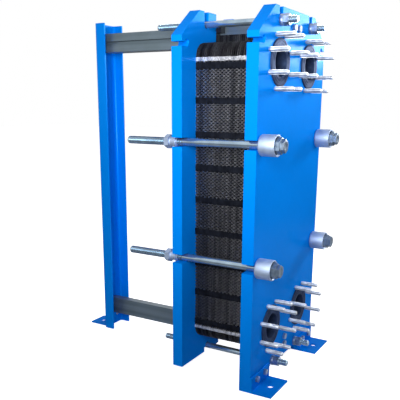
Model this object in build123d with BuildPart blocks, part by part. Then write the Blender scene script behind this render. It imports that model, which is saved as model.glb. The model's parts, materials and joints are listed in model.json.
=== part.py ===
from build123d import *
from math import cos, radians, sin
import os

# A gasketed plate heat exchanger. Millimetres, +Z up, standing on Z = 0.
# X runs across the machine, Y from its front (the ports) to its rear column.
# The origin is the middle of its footprint. Depths are given behind the front face of the frame plate.

# Driving dimensions: the two end plates
plate_width = 470
plate_height = 1028
shoulder_height = 957
top_chamfer = 93
frame_plate_thickness = 34
pressure_plate_thickness = 32
pressure_plate_bottom = 26

# Driving dimensions: heat plates and gaskets
plate_count = 30
packet_size = 10
plate_pitch = 6.24
sheet_thickness = 0.8
heat_plate_width = 326
heat_plate_bottom = 91
heat_plate_top = 946
heat_plate_corner = 42
gasket_inset = 9
gasket_width = 8
packet_gap = 0.2
port_hole_radius = 35
rib_pitch = 30
rib_depth = 3
rib_slope = 0.6
rib_count = 17
rib_clearance = 22

# Driving dimensions: ports
port_x = 106
port_heights = (158, 889)
port_bore_radius = 37
liner_wall = 4
liner_flange_radius = 62
liner_flange_thickness = 4
stud_radius = 6
stud_length = 54
stud_circle_radius = 72.5
studs_per_port = 8

# Driving dimensions: tie bolts
side_bolt_x = 207
side_bolt_heights = (355, 681)
side_bolt_radius = 11
side_bolt_rear = 419
side_slot_width = 25
top_bolt_x = 106
top_bolt_z = 994
top_bolt_radius = 9
top_bolt_front = 46
top_bolt_rear = 381
top_slot_width = 22
bottom_bolt_x = 88
bottom_bolt_z = 44
bottom_bolt_radius = 9
bottom_bolt_front = 50
bottom_bolt_rear = 375
bottom_slot_width = 21
slot_run = 80
keyhole_x = 208
keyhole_z = 941
keyhole_radius = 8
keyhole_slot_z = 935
keyhole_slot_width = 12

# Driving dimensions: bars and column
bar_width = 50
bar_height = 24
bar_top = 999
rail_web_width = 30
rail_web_height = 8
rail_flange_height = 25
guide_bar_width = 26
guide_bar_height = 56
guide_bar_top = 106
column_front = 630
column_depth = 39
column_width = 95
column_height = 1030
column_wall = 6
column_bend = 8

# Driving dimensions: feet
foot_width = 120
foot_reach = 64
foot_height = 45
foot_plate = 5
column_foot_width = 70
column_foot_end = 741
column_foot_height = 54
anchor_hole_radius = 9

# Driving dimensions: screws of the bars and feet
bar_screw_radius = 5
screw_head_height = 7
screw_head_flats = 17

# Clearances
thread_clearance = 0.05
hole_clearance = 0.3
slide_clearance = 0.4

# Worked-out places
bolt_head_reach = 68
front_y = (bolt_head_reach - column_foot_end) / 2
pack_front = frame_plate_thickness
pack_rear = pack_front + plate_count * plate_pitch
pressure_front = pack_rear + 3 * packet_gap
pressure_rear = pressure_front + pressure_plate_thickness
column_web_front = column_front + column_depth - column_wall
column_rear = column_front + column_depth
half_width = plate_width / 2
bar_bottom = bar_top - bar_height
rail_web_bottom = bar_bottom - rail_web_height
rail_bottom = rail_web_bottom - rail_flange_height
port_centres = [(side * port_x, z) for side in (-1, 1) for z in port_heights]
side_bolt_centres = [(side * side_bolt_x, z) for side in (-1, 1) for z in side_bolt_heights]
top_bolt_centres = [(side * top_bolt_x, top_bolt_z) for side in (-1, 1)]
bottom_bolt_centres = [(side * bottom_bolt_x, bottom_bolt_z) for side in (-1, 1)]

os.makedirs("parts", exist_ok=True)


def section(depth):
    """Plane across the machine, at a depth behind the front face. Its x is X and its y is Z."""
    return Plane.XZ.offset(-(front_y + depth))


def save(piece, name):
    """Labels a finished piece and writes it as one STEP file."""
    piece.part.label = name
    export_step(piece.part, f"parts/{name}.step")


def circles(centres, radius, bore=None):
    """Discs, or rings if they have a bore, in the active sketch."""
    with Locations(*centres):
        Circle(radius)
        if bore:
            Circle(bore, mode=Mode.SUBTRACT)


def hexagons(centres, across_flats, bore=None):
    """Hexagonal nuts or heads in the active sketch."""
    with Locations(*centres):
        RegularPolygon(across_flats / 2, 6, major_radius=False)
        if bore:
            Circle(bore, mode=Mode.SUBTRACT)


def end_plate_outline(lower_outline):
    """Corner points of an end plate: shared shoulders and top, then its own lower outline."""
    top_half = half_width - top_chamfer
    return [
        (-half_width, shoulder_height),
        (-top_half, plate_height),
        (top_half, plate_height),
        (half_width, shoulder_height),
        *lower_outline,
    ]


def cut_bolt_slots():
    """Slots open to the plate's edge, so that each tie bolt can be swung out sideways."""
    for side in (-1, 1):
        with Locations((side * top_bolt_x, top_bolt_z + slot_run / 2)):
            SlotCenterToCenter(slot_run, top_slot_width, rotation=90, mode=Mode.SUBTRACT)
        with Locations(*[(side * (side_bolt_x + slot_run / 2), z) for z in side_bolt_heights]):
            SlotCenterToCenter(slot_run, side_slot_width, mode=Mode.SUBTRACT)
        with Locations((side * bottom_bolt_x, bottom_bolt_z - slot_run / 2)):
            SlotCenterToCenter(slot_run, bottom_slot_width, rotation=90, mode=Mode.SUBTRACT)


def cut_keyholes():
    """A narrow slot in each shoulder that ends in a round hole."""
    for side in (-1, 1):
        with Locations((side * (keyhole_x + slot_run / 2), keyhole_slot_z)):
            SlotCenterToCenter(slot_run, keyhole_slot_width, mode=Mode.SUBTRACT)
        with Locations((side * keyhole_x, keyhole_z)):
            Circle(keyhole_radius, mode=Mode.SUBTRACT)


# Frame plate, the fixed front end plate on two legs
bar_screw_pitch = 34
bar_screw_z = bar_top - 15
guide_screw_pitch = 23
guide_screw_z = guide_bar_top - guide_bar_height / 2
bar_screw_centres = [(-bar_screw_pitch / 2, bar_screw_z), (bar_screw_pitch / 2, bar_screw_z)]
guide_screw_centres = [(0, guide_screw_z - guide_screw_pitch / 2), (0, guide_screw_z + guide_screw_pitch / 2)]
frame_screw_centres = bar_screw_centres + guide_screw_centres
foot_x = half_width - foot_width / 2
foot_screw_pitch = 54
foot_screw_z = 31
foot_screw_centres = [
    (side * foot_x + offset, foot_screw_z)
    for side in (-1, 1)
    for offset in (-foot_screw_pitch / 2, foot_screw_pitch / 2)
]
leg_inside = half_width - foot_width
cut_out_height = 29
cut_out_half_width = 102

frame_plate_legs = [
    (half_width, 0),
    (leg_inside, 0),
    (cut_out_half_width, cut_out_height),
    (-cut_out_half_width, cut_out_height),
    (-leg_inside, 0),
    (-half_width, 0),
]

with BuildPart() as frame_plate:
    with BuildSketch(section(0)):
        with BuildLine():
            Polyline(*end_plate_outline(frame_plate_legs), close=True)
        make_face()
        cut_bolt_slots()
        cut_keyholes()
        with Locations(*port_centres):
            Circle(port_bore_radius + liner_wall + thread_clearance, mode=Mode.SUBTRACT)
        with Locations(*frame_screw_centres, *foot_screw_centres):
            Circle(bar_screw_radius + hole_clearance, mode=Mode.SUBTRACT)
    extrude(amount=-frame_plate_thickness)
save(frame_plate, "frame_plate")

# Pressure plate, the movable rear end plate that hangs from the carrying bar
hanger_notch_half = 51
hanger_notch_bottom = rail_bottom - 6
guide_notch_half = guide_bar_width / 2 + slide_clearance
lug_step = 14
shoe_screw_centres = [(side * 60, z) for side in (-1, 1) for z in (958, 986)]

pressure_plate_legs = [
    (half_width, pressure_plate_bottom),
    (104, pressure_plate_bottom),
    (104, pressure_plate_bottom + lug_step),
    (72, pressure_plate_bottom + lug_step),
    (30, pressure_plate_bottom),
    (-30, pressure_plate_bottom),
    (-72, pressure_plate_bottom + lug_step),
    (-104, pressure_plate_bottom + lug_step),
    (-104, pressure_plate_bottom),
    (-half_width, pressure_plate_bottom),
]

with BuildPart() as pressure_plate:
    with BuildSketch(section(pressure_front)):
        with BuildLine():
            Polyline(*end_plate_outline(pressure_plate_legs), close=True)
        make_face()
        cut_bolt_slots()
        cut_keyholes()
        with Locations((0, plate_height)):
            Rectangle(2 * hanger_notch_half, 2 * (plate_height - hanger_notch_bottom), mode=Mode.SUBTRACT)
        with Locations((0, 0)):
            Rectangle(2 * guide_notch_half, 2 * (guide_bar_top + 6), mode=Mode.SUBTRACT)
    extrude(amount=-pressure_plate_thickness)
save(pressure_plate, "pressure_plate")

# Hanger shoes, black plastic blocks in the top notch that carry the pressure plate on the rail
shoe_inner = bar_width / 2 + slide_clearance
tongue_inner = rail_web_width / 2 + 2
tongue_bottom = rail_web_bottom + 0.1
tongue_top = bar_bottom - 1.5
shoe_top = 997
shoe_front = pressure_front - 15
lip_bottom = 979

with BuildPart() as hanger_shoes:
    for side in (-1, 1):
        with BuildSketch(section(pressure_front)):
            with BuildLine():
                Polyline(
                    (side * hanger_notch_half, hanger_notch_bottom),
                    (side * hanger_notch_half, shoe_top),
                    (side * shoe_inner, shoe_top),
                    (side * shoe_inner, tongue_top),
                    (side * tongue_inner, tongue_top),
                    (side * tongue_inner, tongue_bottom),
                    (side * shoe_inner, tongue_bottom),
                    (side * shoe_inner, hanger_notch_bottom),
                    close=True,
                )
            make_face()
        extrude(amount=-pressure_plate_thickness)
        with BuildSketch(section(shoe_front)):
            with Locations((side * (hanger_notch_half + shoe_inner) / 2, (shoe_top + lip_bottom) / 2)):
                Rectangle(hanger_notch_half - shoe_inner, shoe_top - lip_bottom)
        extrude(amount=shoe_front - pressure_front)
save(hanger_shoes, "hanger_shoes")

# Two shoe clamps hold the shoes against the notch walls from behind, each with two screws
clamp_inner = shoe_inner + 4
clamp_outer = 72
clamp_middle = 972
clamp_height = 44
clamp_thickness = 5
clamp_screw_height = 5
clamp_screw_flats = 10
with BuildPart() as shoe_clamps:
    for side in (-1, 1):
        with BuildSketch(section(pressure_rear)):
            with Locations((side * (clamp_inner + clamp_outer) / 2, clamp_middle)):
                Rectangle(clamp_outer - clamp_inner, clamp_height)
        extrude(amount=-clamp_thickness)
save(shoe_clamps, "shoe_clamps")

with BuildPart() as shoe_clamp_screws:
    with BuildSketch(section(pressure_rear + clamp_thickness)):
        hexagons(shoe_screw_centres, clamp_screw_flats)
    extrude(amount=-clamp_screw_height)
save(shoe_clamp_screws, "shoe_clamp_screws")

# Feet of the frame plate: two angle brackets
bracket_edge = 0.6
front_anchor_reach = 36
column_anchor_reach = 44
for name, side in (("left_foot", -1), ("right_foot", 1)):
    with BuildPart() as foot:
        with BuildSketch(Plane.YZ.offset(side * foot_x - foot_width / 2)):
            with BuildLine():
                FilletPolyline(
                    (front_y, 0),
                    (front_y, foot_height),
                    (front_y - foot_plate, foot_height),
                    (front_y - foot_plate, foot_plate),
                    (front_y - foot_reach, foot_plate),
                    (front_y - foot_reach, 0),
                    radius=bracket_edge,
                    close=True,
                )
            make_face()
        extrude(amount=foot_width)
        with BuildSketch(section(0)):
            with Locations(*[centre for centre in foot_screw_centres if centre[0] * side > 0]):
                Circle(bar_screw_radius + hole_clearance)
        extrude(amount=foot_plate, mode=Mode.SUBTRACT)
        with BuildSketch(Plane.XY):
            with Locations((side * foot_x, front_y - front_anchor_reach)):
                Circle(anchor_hole_radius)
        extrude(amount=foot_plate, mode=Mode.SUBTRACT)
    save(foot, name)

# Foot screws run right through the plate and show their ends behind it
foot_screw_tail = 10
with BuildPart() as foot_screws:
    with BuildSketch(section(-foot_plate - screw_head_height)):
        hexagons(foot_screw_centres, screw_head_flats)
    extrude(amount=-screw_head_height)
    with BuildSketch(section(-foot_plate)):
        circles(foot_screw_centres, bar_screw_radius)
    extrude(amount=-(foot_plate + frame_plate_thickness + foot_screw_tail))
save(foot_screws, "foot_screws")

# Screws that hold the ends of the two bars to the frame plate
bar_thread_depth = 25
with BuildPart() as frame_bar_screws:
    with BuildSketch(section(-screw_head_height)):
        hexagons(frame_screw_centres, screw_head_flats)
    extrude(amount=-screw_head_height)
    with BuildSketch(section(0)):
        circles(frame_screw_centres, bar_screw_radius)
    extrude(amount=-(frame_plate_thickness + bar_thread_depth))
save(frame_bar_screws, "frame_bar_screws")

# Support column: a channel with its web to the rear
half_column = column_width / 2
inner = half_column - column_wall
column_foot_screw_centres = [(-18, 34), (18, 34)]
with BuildPart() as support_column:
    with BuildSketch(Plane.XY):
        with BuildLine():
            FilletPolyline(
                (-half_column, front_y + column_front),
                (-half_column, front_y + column_rear),
                (half_column, front_y + column_rear),
                (half_column, front_y + column_front),
                radius=column_bend + 1,
            )
            Line((half_column, front_y + column_front), (inner, front_y + column_front))
            FilletPolyline(
                (inner, front_y + column_front),
                (inner, front_y + column_web_front),
                (-inner, front_y + column_web_front),
                (-inner, front_y + column_front),
                radius=column_bend,
            )
            Line((-inner, front_y + column_front), (-half_column, front_y + column_front))
        make_face()
    extrude(amount=column_height)
    with BuildSketch(section(column_web_front)):
        with Locations(*frame_screw_centres, *column_foot_screw_centres):
            Circle(bar_screw_radius + hole_clearance)
    extrude(amount=-column_wall, mode=Mode.SUBTRACT)
save(support_column, "support_column")

# Foot of the column: an angle bracket behind the web
with BuildPart() as column_foot:
    with BuildSketch(Plane.YZ.offset(-column_foot_width / 2)):
        with BuildLine():
            FilletPolyline(
                (front_y + column_rear, 0),
                (front_y + column_rear, column_foot_height),
                (front_y + column_rear + foot_plate, column_foot_height),
                (front_y + column_rear + foot_plate, foot_plate),
                (front_y + column_foot_end, foot_plate),
                (front_y + column_foot_end, 0),
                radius=bracket_edge,
                close=True,
            )
        make_face()
    extrude(amount=column_foot_width)
    with BuildSketch(section(column_rear)):
        with Locations(*column_foot_screw_centres):
            Circle(bar_screw_radius + hole_clearance)
    extrude(amount=-foot_plate, mode=Mode.SUBTRACT)
    with BuildSketch(Plane.XY):
        with Locations((0, front_y + column_rear + column_anchor_reach)):
            Circle(anchor_hole_radius)
    extrude(amount=foot_plate, mode=Mode.SUBTRACT)
save(column_foot, "column_foot")

column_screw_tail = 4
with BuildPart() as column_foot_screws:
    with BuildSketch(section(column_web_front - column_screw_tail)):
        circles(column_foot_screw_centres, bar_screw_radius)
    extrude(amount=-(column_screw_tail + column_wall + foot_plate))
    with BuildSketch(section(column_rear + foot_plate)):
        hexagons(column_foot_screw_centres, screw_head_flats)
    extrude(amount=-screw_head_height)
save(column_foot_screws, "column_foot_screws")

# Screws that hold the rear ends of the two bars, from behind the column
with BuildPart() as column_bar_screws:
    with BuildSketch(section(column_web_front - bar_thread_depth)):
        circles(frame_screw_centres, bar_screw_radius)
    extrude(amount=-(bar_thread_depth + column_wall))
    with BuildSketch(section(column_rear)):
        hexagons(frame_screw_centres, screw_head_flats)
    extrude(amount=-screw_head_height)
save(column_bar_screws, "column_bar_screws")

# Tapped holes in the two ends of each bar, a little deeper than the screws reach
tapped_depth = bar_thread_depth + 2
tapped_starts = (frame_plate_thickness, column_web_front - tapped_depth)

# Carrying bar, and below it the T-shaped rail that the heat plates hang on
bar_length = column_web_front - frame_plate_thickness
with BuildPart() as carrying_bar:
    with BuildSketch(section(frame_plate_thickness)):
        with Locations((0, bar_top - bar_height / 2)):
            Rectangle(bar_width, bar_height)
    extrude(amount=-bar_length)
    for start in tapped_starts:
        with BuildSketch(section(start)):
            circles(bar_screw_centres, bar_screw_radius + thread_clearance)
        extrude(amount=-tapped_depth, mode=Mode.SUBTRACT)
save(carrying_bar, "carrying_bar")

with BuildPart() as hanging_rail:
    with BuildSketch(section(frame_plate_thickness)):
        with Locations((0, bar_bottom - rail_web_height / 2)):
            Rectangle(rail_web_width, rail_web_height)
        with Locations((0, rail_web_bottom - rail_flange_height / 2)):
            Rectangle(bar_width, rail_flange_height)
    extrude(amount=-bar_length)
save(hanging_rail, "hanging_rail")

# Guide bar, which the lower edges of the plates straddle
with BuildPart() as guide_bar:
    with BuildSketch(section(frame_plate_thickness)):
        with Locations((0, guide_bar_top - guide_bar_height / 2)):
            Rectangle(guide_bar_width, guide_bar_height)
    extrude(amount=-bar_length)
    for start in tapped_starts:
        with BuildSketch(section(start)):
            circles(guide_screw_centres, bar_screw_radius + thread_clearance)
        extrude(amount=-tapped_depth, mode=Mode.SUBTRACT)
save(guide_bar, "guide_bar")

# Port liners: rubber sleeves through the frame plate with a sealing flange in front
with BuildPart() as port_liners:
    with BuildSketch(section(-liner_flange_thickness)):
        circles(port_centres, liner_flange_radius, port_bore_radius)
    extrude(amount=-liner_flange_thickness)
    with BuildSketch(section(0)):
        circles(port_centres, port_bore_radius + liner_wall, port_bore_radius)
    extrude(amount=-frame_plate_thickness)
save(port_liners, "port_liners")

# Port studs for the pipe flanges, straddling the centre lines of each port
with BuildPart() as port_studs:
    for x, z in port_centres:
        with BuildSketch(section(-stud_length)):
            with Locations((x, z)):
                with PolarLocations(stud_circle_radius, studs_per_port, start_angle=180 / studs_per_port):
                    Circle(stud_radius)
        extrude(amount=-stud_length)
save(port_studs, "port_studs")

# Side tie bolts: each turns in a bearing cup on the frame plate and screws into a collar nut
cup_radius = 28
cup_wall = 4
cup_length = 47
cup_floor = 12
cup_chamfer = 5
bearing_reach = 33
collar_reach = 57

with BuildPart() as bearing_cups:
    with BuildSketch(section(-cup_length)):
        circles(side_bolt_centres, cup_radius, side_bolt_radius + hole_clearance)
    extrude(amount=-cup_length)
    chamfer(bearing_cups.faces().sort_by(Axis.Y)[-4:].edges().group_by(SortBy.RADIUS)[-1], cup_chamfer)
    with BuildSketch(section(-cup_length)):
        with Locations(*side_bolt_centres):
            Circle(cup_radius - cup_wall)
    extrude(amount=-(cup_length - cup_floor), mode=Mode.SUBTRACT)
save(bearing_cups, "bearing_cups")

with BuildPart() as thrust_bearings:
    with BuildSketch(section(-bearing_reach)):
        circles(side_bolt_centres, cup_radius - cup_wall - 1, side_bolt_radius + hole_clearance)
    extrude(amount=-(bearing_reach - cup_floor))
save(thrust_bearings, "thrust_bearings")

bolt_end_flats = 30
bolt_head_flats = 38
for row, z in zip(("lower", "upper"), side_bolt_heights):
    for hand, side in (("left", -1), ("right", 1)):
        centre = [(side * side_bolt_x, z)]
        with BuildPart() as tie_bolt:
            with BuildSketch(section(-bolt_head_reach)):
                hexagons(centre, bolt_end_flats)
            extrude(amount=-(bolt_head_reach - collar_reach))
            with BuildSketch(section(-collar_reach)):
                hexagons(centre, bolt_head_flats)
            extrude(amount=-(collar_reach - bearing_reach))
            with BuildSketch(section(-bearing_reach)):
                circles(centre, side_bolt_radius)
            extrude(amount=-(bearing_reach + side_bolt_rear))
        save(tie_bolt, f"{row}_{hand}_tie_bolt")

# Collar nuts behind the pressure plate: a round collar that seats across the slot, then a hexagon
collar_spigot = 5
collar_radius = 15
collar_length = 20
collar_head = 15
collar_flats = 34
with BuildPart() as side_collar_nuts:
    with BuildSketch(section(pressure_rear - collar_spigot)):
        circles(side_bolt_centres, side_slot_width / 2 - hole_clearance, side_bolt_radius + thread_clearance)
    extrude(amount=-collar_spigot)
    with BuildSketch(section(pressure_rear)):
        circles(side_bolt_centres, collar_radius, side_bolt_radius + thread_clearance)
    extrude(amount=-collar_length)
    with BuildSketch(section(pressure_rear + collar_length)):
        hexagons(side_bolt_centres, collar_flats, side_bolt_radius + thread_clearance)
    extrude(amount=-collar_head)
save(side_collar_nuts, "side_collar_nuts")

# Plain tie rods at the top and bottom, with thick washers in front and thin ones behind
front_washer_thickness = 8
rear_washer_thickness = 4


def tie_rod_set(name, centres, radius, front, rear, across_flats, washer_radius):
    """Two plain tie rods with a washer and a nut at each end."""
    bore = radius + thread_clearance
    nut_height = 1.8 * radius
    with BuildPart() as rods:
        with BuildSketch(section(-front)):
            circles(centres, radius)
        extrude(amount=-(front + rear))
    save(rods, f"{name}_tie_rods")
    with BuildPart() as front_washers:
        with BuildSketch(section(-front_washer_thickness)):
            circles(centres, washer_radius, bore + hole_clearance)
        extrude(amount=-front_washer_thickness)
    save(front_washers, f"{name}_front_washers")
    with BuildPart() as front_nuts:
        with BuildSketch(section(-front_washer_thickness - nut_height)):
            hexagons(centres, across_flats, bore)
        extrude(amount=-nut_height)
    save(front_nuts, f"{name}_front_nuts")
    with BuildPart() as rear_washers:
        with BuildSketch(section(pressure_rear)):
            circles(centres, washer_radius + 2, bore + hole_clearance)
        extrude(amount=-rear_washer_thickness)
    save(rear_washers, f"{name}_rear_washers")
    with BuildPart() as rear_nuts:
        with BuildSketch(section(pressure_rear + rear_washer_thickness)):
            hexagons(centres, across_flats, bore)
        extrude(amount=-nut_height)
    save(rear_nuts, f"{name}_rear_nuts")


tie_rod_set("top", top_bolt_centres, top_bolt_radius, top_bolt_front, top_bolt_rear, 27, 15)
tie_rod_set("bottom", bottom_bolt_centres, bottom_bolt_radius, bottom_bolt_front, bottom_bolt_rear, 26, 14.5)

# Heat plates: thin pressed sheets that hang on the rail by two hooks and straddle the guide bar
hook_inner = bar_width / 2 + 1
hook_outer = hook_inner + 15
hook_top = bar_bottom - 2
tooth_inner = rail_web_width / 2 + 2
tooth_bottom = rail_web_bottom + 0.1
guide_notch_top = guide_bar_top + 5
heat_half = heat_plate_width / 2



def turn(x, z, radius, angles):
    """Points that turn a corner about its centre, in a few flats."""
    return [(x + radius * cos(radians(angle)), z + radius * sin(radians(angle))) for angle in angles]


def right_edge(edge, top, bottom, radius):
    """The outer side of a sheet or gasket, from its upper corner down to its lower one."""
    middle = edge - radius
    return [
        *turn(middle, top - radius, radius, (90, 60, 30, 0)),
        *turn(middle, bottom + radius, radius, (0, -30, -60, -90)),
    ]


def both_sides(right_side):
    """A whole outline from its right half."""
    return [*right_side, *[(-x, z) for x, z in reversed(right_side)]]


sheet_outline = both_sides([
    (hook_inner, rail_bottom - 2),
    (hook_inner, tooth_bottom),
    (tooth_inner, tooth_bottom),
    (tooth_inner, hook_top),
    (hook_outer, hook_top),
    (hook_outer, heat_plate_top),
    *right_edge(heat_half, heat_plate_top, heat_plate_bottom, heat_plate_corner),
    (guide_notch_half + 1, heat_plate_bottom),
    (guide_notch_half + 1, guide_notch_top),
])

# Gaskets: a closed frame just inside the plate's edge that steps over the guide notch
gasket_half = heat_half - gasket_inset
gasket_top = rail_bottom - 6
gasket_bottom = heat_plate_bottom + gasket_inset
gasket_outline = both_sides([
    *right_edge(gasket_half, gasket_top, gasket_bottom, heat_plate_corner - gasket_inset),
    (guide_notch_half + 4, gasket_bottom),
    (guide_notch_half + 4, guide_notch_top + gasket_inset),
])

# Plain sheet, for the inside of a packet. Its port holes have flat sides to stay light.
with BuildPart() as plain_sheet:
    with BuildSketch(section(0)):
        with BuildLine():
            Polyline(*sheet_outline, close=True)
        make_face()
        with Locations(*port_centres):
            RegularPolygon(port_hole_radius, 12, mode=Mode.SUBTRACT)
    extrude(amount=-sheet_thickness)

# Ribbed sheet, for the two ends of a packet, where the pressing shows: rows of ribs in a
# herringbone, raised on the front and hollow behind, so that the sheet keeps its thickness
rib_bottom = port_heights[0] + port_hole_radius + rib_clearance + rib_slope * heat_half
rib_half = heat_half - gasket_inset - gasket_width - 4
rib_feet = [rib_bottom + row * rib_pitch for row in range(rib_count + 1)]
rib_crests = [foot + rib_pitch / 2 for foot in rib_feet[:-1]]


def rib_profile(face, closing):
    """Side view of the ribs on a face at one depth. The profile closes along another depth."""
    zigzag = [(face, rib_feet[0])]
    for crest, foot in zip(rib_crests, rib_feet[1:]):
        zigzag += [(face - rib_depth, crest), (face, foot)]
    return [(closing, rib_feet[0]), *zigzag, (closing, rib_feet[-1])]


with BuildPart() as ribbed_sheet:
    with BuildSketch(section(0)):
        with BuildLine():
            Polyline(*sheet_outline, close=True)
        make_face()
        with Locations(*port_centres):
            Circle(port_hole_radius, mode=Mode.SUBTRACT)
    extrude(amount=-sheet_thickness)
    rib_cuts = (
        (rib_profile(front_y, front_y + sheet_thickness / 2), Mode.ADD),
        (rib_profile(front_y + sheet_thickness, front_y + 2 * sheet_thickness), Mode.SUBTRACT),
    )
    for profile, mode in rib_cuts:
        for side in (-1, 1):
            with BuildSketch(Plane.YZ):
                with BuildLine():
                    Polyline(*profile, close=True)
                make_face()
            extrude(amount=rib_half * (1 + rib_slope**2) ** 0.5, dir=(side, 0, -rib_slope), mode=mode)

# One gasket, as thick as the gap between two sheets
gasket_thickness = plate_pitch - sheet_thickness
with BuildPart() as gasket:
    with BuildSketch(section(0)):
        with BuildLine():
            Polyline(*gasket_outline, close=True)
        make_face()
        offset(amount=-gasket_width, kind=Kind.INTERSECTION, mode=Mode.SUBTRACT)
    extrude(amount=-gasket_thickness)

# Three packets, each of sheets with a gasket in front of every one
for index, packet in enumerate(("front", "middle", "rear")):
    packet_front = pack_front + packet_gap / 2 + index * (packet_size * plate_pitch + packet_gap)
    gasket_depths = [packet_front + plate_pitch * number for number in range(packet_size)]
    with BuildPart() as heat_plates:
        for number, depth in enumerate(gasket_depths):
            with Locations((0, depth + gasket_thickness, 0)):
                add(ribbed_sheet.part if number in (0, packet_size - 1) else plain_sheet.part)
    save(heat_plates, f"{packet}_heat_plates")
    with BuildPart() as gaskets:
        with Locations(*[(0, depth, 0) for depth in gasket_depths]):
            add(gasket.part)
    save(gaskets, f"{packet}_gaskets")
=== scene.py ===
# %% [markdown]
# A gasketed plate heat exchanger: two painted end plates squeeze a pack of thin pressed
# sheets, and long bolts hold the squeeze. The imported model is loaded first, because every
# piece below takes its place from it.

# %% Load the frame
import json
import math
import random

import bpy
from mathutils import Matrix, Vector


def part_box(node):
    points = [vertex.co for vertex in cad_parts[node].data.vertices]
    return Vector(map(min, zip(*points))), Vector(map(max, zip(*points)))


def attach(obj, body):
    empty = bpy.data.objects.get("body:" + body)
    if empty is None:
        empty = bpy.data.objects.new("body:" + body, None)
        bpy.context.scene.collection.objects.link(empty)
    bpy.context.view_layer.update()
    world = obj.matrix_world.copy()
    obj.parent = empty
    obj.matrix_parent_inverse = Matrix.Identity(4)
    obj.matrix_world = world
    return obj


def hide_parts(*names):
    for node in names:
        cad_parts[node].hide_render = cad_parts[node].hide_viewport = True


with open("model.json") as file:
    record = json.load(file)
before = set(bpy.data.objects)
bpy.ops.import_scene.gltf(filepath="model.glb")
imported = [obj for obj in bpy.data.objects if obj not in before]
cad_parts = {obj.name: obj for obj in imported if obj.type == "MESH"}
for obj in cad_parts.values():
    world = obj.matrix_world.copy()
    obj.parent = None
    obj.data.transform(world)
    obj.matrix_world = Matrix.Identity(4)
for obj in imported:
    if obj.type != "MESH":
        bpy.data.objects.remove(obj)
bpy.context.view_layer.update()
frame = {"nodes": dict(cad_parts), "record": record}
nodes = frame["nodes"]
bpy.ops.object.select_all(action="DESELECT")

# %% [markdown]
# Depths are measured backwards from the front face of the frame plate, as on a workshop
# drawing, so the places of that plate and the pressure plate are read once here. Sizes of
# pieces are written in millimetres and turned into Blender's metres by one factor.

# %% Read the main places
mm = 0.001
plate_low, plate_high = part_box("frame_plate")
front_face = plate_low.y


def at(depth):
    """The Y of a depth in millimetres behind the front face."""
    return front_face + depth * mm


def depth_of(y):
    """The depth in millimetres behind the front face of a Y."""
    return (y - front_face) / mm


pressure_rear = depth_of(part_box("pressure_plate")[1].y)
print("front face", front_face, "pressure plate's rear", pressure_rear)

# %% [markdown]
# The camera stands to the left of the machine, at three quarters of its height, and looks
# a little down. It is close enough for the front plate to look much wider than the column. A
# small shift slides the frame over the machine without turning the camera.

# %% Place the camera
camera_azimuth = math.radians(-60.016)
camera_elevation = math.radians(13.697)
camera_roll = math.radians(0.43)
camera_place = (-1.6027, front_face - 0.6404, 0.7801)
turn = Matrix.Rotation(camera_azimuth, 3, "Z") @ Matrix.Rotation(math.pi / 2 - camera_elevation, 3, "X")
turn = turn @ Matrix.Rotation(camera_roll, 3, "Z")
bpy.ops.object.camera_add(location=camera_place, rotation=turn.to_euler())
camera = bpy.context.object
camera.name = "camera"
camera.data.sensor_width = 36
camera.data.lens = 53.19
camera.data.shift_x = -0.0112
camera.data.shift_y = 0.1222
camera.data.clip_start = 0.01
camera.data.clip_end = 50
bpy.context.scene.camera = camera
print("camera", list(camera.location))

# %% [markdown]
# Studio light: a near soft lamp on the left that fades towards the column, a weak one in
# front, and a broad one behind that draws the column off the background. A small bright panel
# on the right shows as a pale sheen on the top of the front plate. The two near lamps have a
# narrow spread, so that the top of the machine is brighter than its feet.

# %% Set up the lamps
def add_lamp(name, place, aim, size, power, spread=180):
    """A square soft lamp, in metres and watts, that throws its light within spread degrees."""
    towards = Vector(aim) - Vector(place)
    facing = towards.to_track_quat("-Z", "Y").to_euler()
    bpy.ops.object.light_add(type="AREA", location=place, rotation=facing)
    lamp = bpy.context.object
    lamp.name = name
    lamp.data.size = size
    lamp.data.energy = power
    lamp.data.spread = math.radians(spread)


pack_side = (plate_low.x, -0.2, 0.93)
above_plate = (0.05, front_face, 1.05)
plate_top = (0.1, front_face, 0.95)
middle = (0, 0, 0.5)
add_lamp("side_lamp", (-1.27, -0.56, 0.98), pack_side, size=0.7, power=9.2, spread=100)
add_lamp("front_lamp", (0.3, front_face - 1.36, 1.25), above_plate, size=0.8, power=2.5, spread=70)
add_lamp("back_lamp", (0.6, 2.6, 0.9), middle, size=1.8, power=14)
add_lamp("gloss_panel", (2.1, front_face - 0.72, 1.25), plate_top, size=0.45, power=30)

# %% [markdown]
# The world fills the shadows a little with a cool light. Camera, mirror and glass rays see
# white instead, so the background is white and the steel reflects it, while matt surfaces
# get only the weak fill.

# %% Set up the world
bpy.context.scene.view_settings.view_transform = "Standard"
fill_colour = (0.86, 0.93, 1.0, 1)
fill_strength = 0.08
world = bpy.data.worlds.new("studio")
bpy.context.scene.world = world
world.use_nodes = True
sky = world.node_tree.nodes
sky_links = world.node_tree.links
sky.clear()
rays = sky.new("ShaderNodeLightPath")
either = sky.new("ShaderNodeMath")
either.operation = "MAXIMUM"
any_ray = sky.new("ShaderNodeMath")
any_ray.operation = "MAXIMUM"
dim = sky.new("ShaderNodeBackground")
dim.inputs["Color"].default_value = fill_colour
dim.inputs["Strength"].default_value = fill_strength
white = sky.new("ShaderNodeBackground")
white.inputs["Color"].default_value = (1, 1, 1, 1)
white.inputs["Strength"].default_value = 1.0
blend = sky.new("ShaderNodeMixShader")
out = sky.new("ShaderNodeOutputWorld")
sky_links.new(rays.outputs["Is Camera Ray"], either.inputs[0])
sky_links.new(rays.outputs["Is Glossy Ray"], either.inputs[1])
sky_links.new(either.outputs[0], any_ray.inputs[0])
sky_links.new(rays.outputs["Is Transmission Ray"], any_ray.inputs[1])
sky_links.new(any_ray.outputs[0], blend.inputs["Fac"])
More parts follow.
